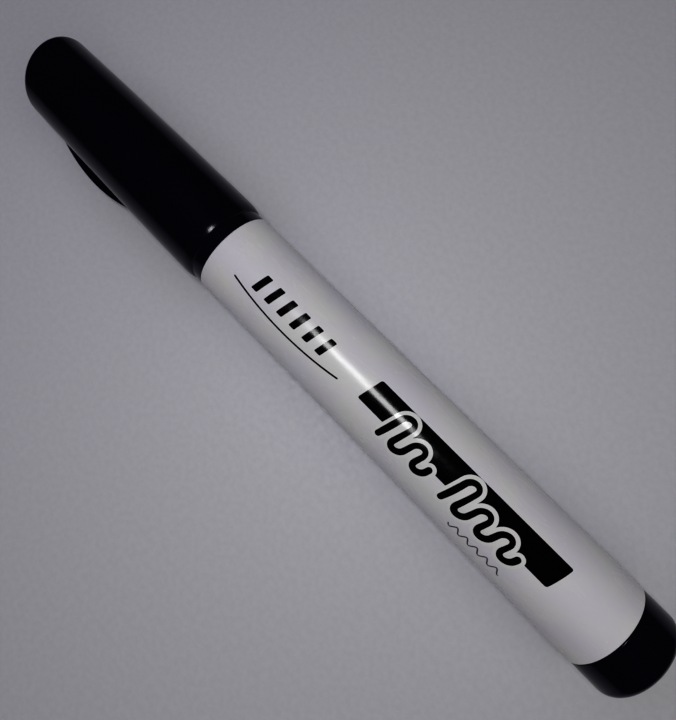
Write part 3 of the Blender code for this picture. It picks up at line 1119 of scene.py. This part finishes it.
@dataclass
class BarrelPrint:
    """Generic marks on the barrel: bars, a swept rule, a band, a bold squiggle and a fine wave.

    Places along the barrel are distances behind the cap's mouth, and places round it are arc lengths
    from the top towards +Y.
    """

    radius: float = span("barrel")[2]
    bar_count: int = 6
    bar_first: float = 10.3 * MM
    bar_pitch: float = 2.95 * MM
    bar_width: float = 1.25 * MM
    bar_span: tuple[float, float] = (-1.05 * MM, 2.3 * MM)
    bar_round: float = 0.18 * MM
    slant: float = 0.215
    rule_span: tuple[float, float] = (5.6 * MM, 29.8 * MM)
    rule_arc: float = 2.85 * MM
    rule_sag: float = 1.2 * MM
    rule_half_width: float = 0.15 * MM
    band_along: tuple[float, float] = (34.5 * MM, 72.5 * MM)
    band_across: tuple[float, float] = (-2.05 * MM, 2.6 * MM)
    band_round: float = 0.35 * MM
    squiggle_half_width: float = 0.5 * MM
    squiggle_swell: float = 0.12
    squiggle_lines: tuple[float, float] = (1.15 * MM, 4.4 * MM)
    squiggle_growth: tuple[float, float] = (-2.05 * MM, 0.5 * MM)
    squiggle_fade: float = 1.1
    squiggle_lean: float = 1.2
    halo_width: float = 0.62 * MM
    halo_rise: float = 0.008 * MM
    squiggle_pitch: float = 2.2 * MM
    squiggle_starts: tuple[float, float] = (40.4 * MM, 53.5 * MM)
    squiggle_strokes: tuple[int, int] = (4, 6)
    wave_span: tuple[float, float] = (56.8 * MM, 67.2 * MM)
    wave_arc: float = 6.9 * MM
    wave_height: float = 0.52 * MM
    wave_pitch: float = 1.95 * MM
    wave_half_width: float = 0.11 * MM
    ink: PrintedInk = PrintedInk(
        name="black_print_ink", colour=(0.004, 0.004, 0.007), thin=(0.014, 0.014, 0.020))
    halo_ink: PrintedInk = PrintedInk(
        name="white_print_ink", colour=(0.74, 0.74, 0.745), thin=(0.70, 0.70, 0.71))
    grey_ink: PrintedInk = PrintedInk(
        name="fine_print_ink", colour=(0.05, 0.05, 0.055), thin=(0.10, 0.10, 0.11))
    base: float = 0.002 * MM

    def lay(self, grid: np.ndarray, layer: Layer, rise: float = 0.0) -> Surface:
        """Wraps a flat strip onto the barrel.

        A flat point (d, a) goes to the ring point at x = -d and angle a / R, with the strip's top at the
        layer's height over the barrel and its underside just clear of it.

        Args:
            grid: an (n, m, 2) array of (distance behind the mouth, arc length).
            layer: which layer it is printed in.
            rise: how much higher its last row is than its first, for a strip that overlaps itself.

        Returns:
            Points, quads and triangles.
        """
        angle = grid[..., 1] / self.radius
        height = layer.value + rise * np.linspace(0.0, 1.0, len(grid))[:, None]
        top = AXIS.ring(-grid[..., 0], self.radius + height, angle)
        bottom = AXIS.ring(-grid[..., 0], np.array(self.radius + self.base), angle)
        return slab(top, bottom)

    def bar(self, first: float, last: float, low: float, high: float, corner: float,
            layer: Layer) -> Surface:
        """A slanted block with rounded corners.

        Along u in 0..1 the block runs from its first to its last end. Near an end, within the corner
        radius c, its edges draw in by c - sqrt(c^2 - (c - d)^2), where d is the distance to that end.
        The whole block is sheared by the print's slant.

        Args:
            first: distance of its front end behind the mouth, at arc 0.
            last: distance of its rear end.
            low: arc length of its lower side.
            high: arc length of its upper side.
            corner: radius of its corners.
            layer: which layer it is printed in.

        Returns:
            Points, quads and triangles.
        """
        bend = corner * (1 - np.cos(np.linspace(0.0, math.pi / 2, 7)))
        middle = np.linspace(first + corner, last - corner, max(3, int((last - first) / (0.5 * MM))))
        along = np.concatenate([first + bend, middle[1:-1], last - bend[::-1]])
        inset = np.minimum(np.minimum(along - first, last - along), corner)
        draw_in = corner - np.sqrt(np.clip(corner ** 2 - (corner - inset) ** 2, 0.0, None))
        across = np.linspace(0.0, 1.0, 15)[None]
        arc = (low + draw_in)[:, None] * (1 - across) + (high - draw_in)[:, None] * across
        return self.lay(np.stack([along[:, None] - self.slant * arc, arc], axis=-1), layer)

    def bars(self) -> Surface:
        """The row of slanted bars near the cap.

        Returns:
            Points, quads and triangles.
        """
        starts = self.bar_first + self.bar_pitch * np.arange(self.bar_count)
        half = self.bar_width / 2
        return merged([self.bar(start - half, start + half, *self.bar_span, self.bar_round, Layer.GROUND)
                       for start in starts])

    def rule(self) -> Surface:
        """The thin swept line beside the bars: a parabola over its span.

        Returns:
            Points, quads and triangles.
        """
        along = np.linspace(*self.rule_span, 200)
        share = (along - self.rule_span[0]) / (self.rule_span[1] - self.rule_span[0])
        arc = self.rule_arc + 4 * self.rule_sag * share * (1 - share)
        path = np.stack([along, arc], axis=-1)
        return self.lay(Stroke(path, self.rule_half_width).grid(), Layer.GROUND)

    def band(self) -> Surface:
        """The solid band."""
        return self.bar(*self.band_along, *self.band_across, self.band_round, Layer.GROUND)

    def squiggle_paths(self) -> list[np.ndarray]:
        """The two runs of the squiggle.

        Each run goes up and down between a high and a low line, one stroke for each pitch, and turns
        round in half circles half a pitch in radius. At stroke i each line stands off its resting place
        by its growth times exp(-fade i), so the wave dies away, and the run leans with the print.

        Returns:
            One path for each run.
        """
        paths = []
        turn = np.linspace(0.0, math.pi, 17)
        radius = self.squiggle_pitch / 2
        for start, strokes in zip(self.squiggle_starts, self.squiggle_strokes):
            fade = np.exp(-self.squiggle_fade * np.arange(strokes + 1))
            high, low = (line + growth * fade
                         for line, growth in zip(self.squiggle_lines, self.squiggle_growth))
            parts = [np.array([[start, low[0]]])]
            for i in range(strokes):
                rising = i % 2 == 0
                edge = high[i] + radius if rising else low[i] - radius
                swing = -np.sin(turn) * radius if rising else np.sin(turn) * radius
                centre = start + self.squiggle_pitch * (i + 0.5)
                parts.append(np.stack([centre - np.cos(turn) * radius, edge + swing], axis=-1))
            rising = strokes % 2 == 0
            last = high[strokes] + radius if rising else low[strokes] - radius
            parts.append(np.array([[start + self.squiggle_pitch * strokes, last]]))
            path = np.concatenate(parts)
            path[:, 0] -= self.squiggle_lean * self.slant * (path[:, 1] - self.rule_arc)
            paths.append(resampled(path))
        return paths

    def squiggle(self) -> Surface:
        """The bold squiggle itself.

        Returns:
            Points, quads and triangles.
        """
        strokes = [Stroke(path, self.squiggle_half_width, swell=self.squiggle_swell)
                   for path in self.squiggle_paths()]
        return merged([self.lay(stroke.grid(9), Layer.TOP) for stroke in strokes])

    def halo(self) -> Surface:
        """The pale outline under the squiggle, which cuts into the band.

        Returns:
            Points, quads and triangles.
        """
        half_width = self.squiggle_half_width + self.halo_width
        strokes = [Stroke(resampled(lengthened(path, self.halo_width)), half_width)
                   for path in self.squiggle_paths()]
        return merged([self.lay(stroke.grid(11), Layer.HALO, self.halo_rise) for stroke in strokes])

    def wave(self) -> Surface:
        """The fine wave beside the squiggle: a sine of the distance along the barrel.

        Returns:
            Points, quads and triangles.
        """
        along = np.linspace(*self.wave_span, 700)
        turn = 2 * math.pi * (along - along[0]) / self.wave_pitch
        arc = self.wave_arc + self.wave_height * np.sin(turn)
        path = resampled(np.stack([along, arc], axis=-1), 0.04 * MM)
        return self.lay(Stroke(path, self.wave_half_width).grid(5), Layer.GROUND)

    def build(self) -> list[bpy.types.Object]:
        """Prints every mark on the barrel.

        Returns:
            The printed pieces, one for each mark.
        """
        black = self.ink.material()
        marks = [
            ("print_bars", self.bars(), black),
            ("print_rule", self.rule(), black),
            ("print_band", self.band(), black),
            ("print_halo", self.halo(), self.halo_ink.material()),
            ("print_squiggle", self.squiggle(), black),
            ("print_fine_wave", self.wave(), self.grey_ink.material()),
        ]
        return [dress(piece_from(name, surface), finish, "marker") for name, surface, finish in marks]


# ---------------------------------------------------------------------------------------------
# Studio
# ---------------------------------------------------------------------------------------------

@dataclass(frozen=True)
class Lamp:
    """One soft area light: its place, aim, size, power and colour, and whether it is mirrored."""

    name: str
    place: tuple[float, float, float]
    aim: tuple[float, float, float]
    size: tuple[float, float]
    power: float
    colour: Colour = (1.0, 1.0, 1.0)
    mirrored: bool = True

    def build(self) -> bpy.types.Object:
        """Hangs the lamp, turns it to its aim and sets whether glossy surfaces show it.

        Returns:
            The lamp's object.
        """
        light = bpy.data.lights.new(self.name, "AREA")
        light.shape = "RECTANGLE"
        light.size, light.size_y = self.size
        light.energy = self.power
        light.color = self.colour
        lamp = bpy.data.objects.new(self.name, light)
        lamp.location = self.place
        lamp.visible_glossy = self.mirrored
        lamp.rotation_euler = (Vector(self.aim) - Vector(self.place)).to_track_quat("-Z", "Y").to_euler()
        bpy.context.scene.collection.objects.link(lamp)
        return lamp


@dataclass
class Studio:
    """The floor, the lights and the camera."""

    floor_size: float = 2.0
    world_colour: Colour = (0.85, 0.86, 1.0)
    world_strength: float = 0.02
    backdrop_colour: Colour = (0.17, 0.17, 0.18)
    camera_place: tuple[float, float, float] = (-37.43 * MM, 2.87 * MM, 94.76 * MM)
    camera_forward: tuple[float, float, float] = (0.18235, -0.04151, -0.98236)
    camera_down: tuple[float, float, float] = (-0.69415, 0.70216, -0.15852)
    lens: float = 27.76
    sensor: float = 36.0
    nearest: float = 5.0 * MM
    shift: tuple[float, float] = (0.0306, -0.0486)
    top: TableTop = TableTop(name="pale_table", colour=(0.62, 0.62, 0.67), shade=(0.57, 0.57, 0.62))
    lamps: tuple[Lamp, ...] = (
        Lamp("overhead_lamp", (-0.004, 0.003, 0.176), (-0.004, 0.003, 0.0), (0.065, 0.034), 0.066),
        Lamp("cap_end_softbox", (0.62, 0.0, 0.40), (0.0, 0.0, 0.0), (0.9, 0.9), 0.9, (0.84, 0.80, 1.0),
             mirrored=False),
        Lamp("plug_end_softbox", (-0.70, 0.0, 0.60), (-0.05, 0.0, 0.0), (1.3, 1.3), 3.0, (1.0, 0.98, 0.86),
             mirrored=False),
    )

    def floor(self) -> bpy.types.Object:
        """A flat table top under the marker.

        Returns:
            The table top's object.
        """
        half = self.floor_size / 2
        corners = [(-half, -half, 0.0), (half, -half, 0.0), (half, half, 0.0), (-half, half, 0.0)]
        mesh = bpy.data.meshes.new("table_top")
        mesh.from_pydata(corners, [], [(0, 1, 2, 3)])
        table = bpy.data.objects.new("table_top", mesh)
        table.data.materials.append(self.top.material())
        bpy.context.scene.collection.objects.link(table)
        return table

    def world(self) -> None:
        """Faint even light from all round, with a plain grey backdrop where a view passes the floor."""
        world = bpy.data.worlds.new("studio_world")
        world.use_nodes = True
        tree = world.node_tree
        glow = tree.nodes["Background"]
        glow.inputs["Color"].default_value = (*self.world_colour, 1.0)
        glow.inputs["Strength"].default_value = self.world_strength
        backdrop = tree.nodes.new("ShaderNodeBackground")
        backdrop.inputs["Color"].default_value = (*self.backdrop_colour, 1.0)
        rays = tree.nodes.new("ShaderNodeLightPath")
        mix = tree.nodes.new("ShaderNodeMixShader")
        tree.links.new(rays.outputs["Is Camera Ray"], mix.inputs["Fac"])
        tree.links.new(glow.outputs["Background"], mix.inputs[1])
        tree.links.new(backdrop.outputs["Background"], mix.inputs[2])
        tree.links.new(mix.outputs["Shader"], tree.nodes["World Output"].inputs["Surface"])
        bpy.context.scene.world = world

    def camera(self) -> bpy.types.Object:
        """The camera over the cap's end of the barrel, looking down at a slant.

        Returns:
            The camera's object.
        """
        data = bpy.data.cameras.new("camera")
        data.lens = self.lens
        data.sensor_width = self.sensor
        data.shift_x, data.shift_y = self.shift
        data.clip_start = self.nearest
        camera = bpy.data.objects.new("camera", data)
        back = -Vector(self.camera_forward).normalized()
        right = (-Vector(self.camera_down)).cross(back).normalized()
        up = back.cross(right)
        turn = Matrix((right, up, back)).transposed().to_4x4()
        x, y, z = self.camera_place
        camera.matrix_world = Matrix.Translation((AXIS.mouth_x + x, AXIS.y + y, AXIS.z + z)) @ turn
        bpy.context.scene.collection.objects.link(camera)
        bpy.context.scene.camera = camera
        return camera

    def build(self) -> None:
        """Sets up the studio, with a high-contrast display so that black and white keep their depth."""
        bpy.context.scene.view_settings.view_transform = "Standard"
        bpy.context.scene.view_settings.look = "Very High Contrast"
        self.floor()
        self.world()
        for lamp in self.lamps:
            lamp.build()
        self.camera()


# ---------------------------------------------------------------------------------------------
# Assembly
# ---------------------------------------------------------------------------------------------

BLACK_PLASTIC = MouldedPlastic(
    name="black_cap_plastic", colour=(0.0100, 0.0070, 0.0190), tint=(0.0120, 0.0090, 0.0220),
    roughness=0.15, roughness_spread=0.10, scratch_tone=(0.05, 0.05, 0.06), dust=0.04)


def report(pieces: list[bpy.types.Object]) -> None:
    """Logs each piece's name and size.

    Args:
        pieces: the finished objects.
    """
    for piece in pieces:
        log.info("%s: %d faces, %.1f x %.1f x %.1f mm", piece.name, len(piece.data.polygons),
                 *(side / MM for side in piece.dimensions))


def main() -> None:
    """Builds the marker from the rear plug to the cap, prints the barrel and sets up the studio."""
    logging.basicConfig(level=logging.INFO, format="%(name)s: %(message)s")
    black = BLACK_PLASTIC.material()
    report([Barrel().build()])
    report([RearPlug().build(black)])
    report(NibEnd().build())
    report(Reservoir().build())
    report(Cap().build(black))
    report(BarrelPrint().build())
    Studio().build()


if __name__ == "__main__":
    main()
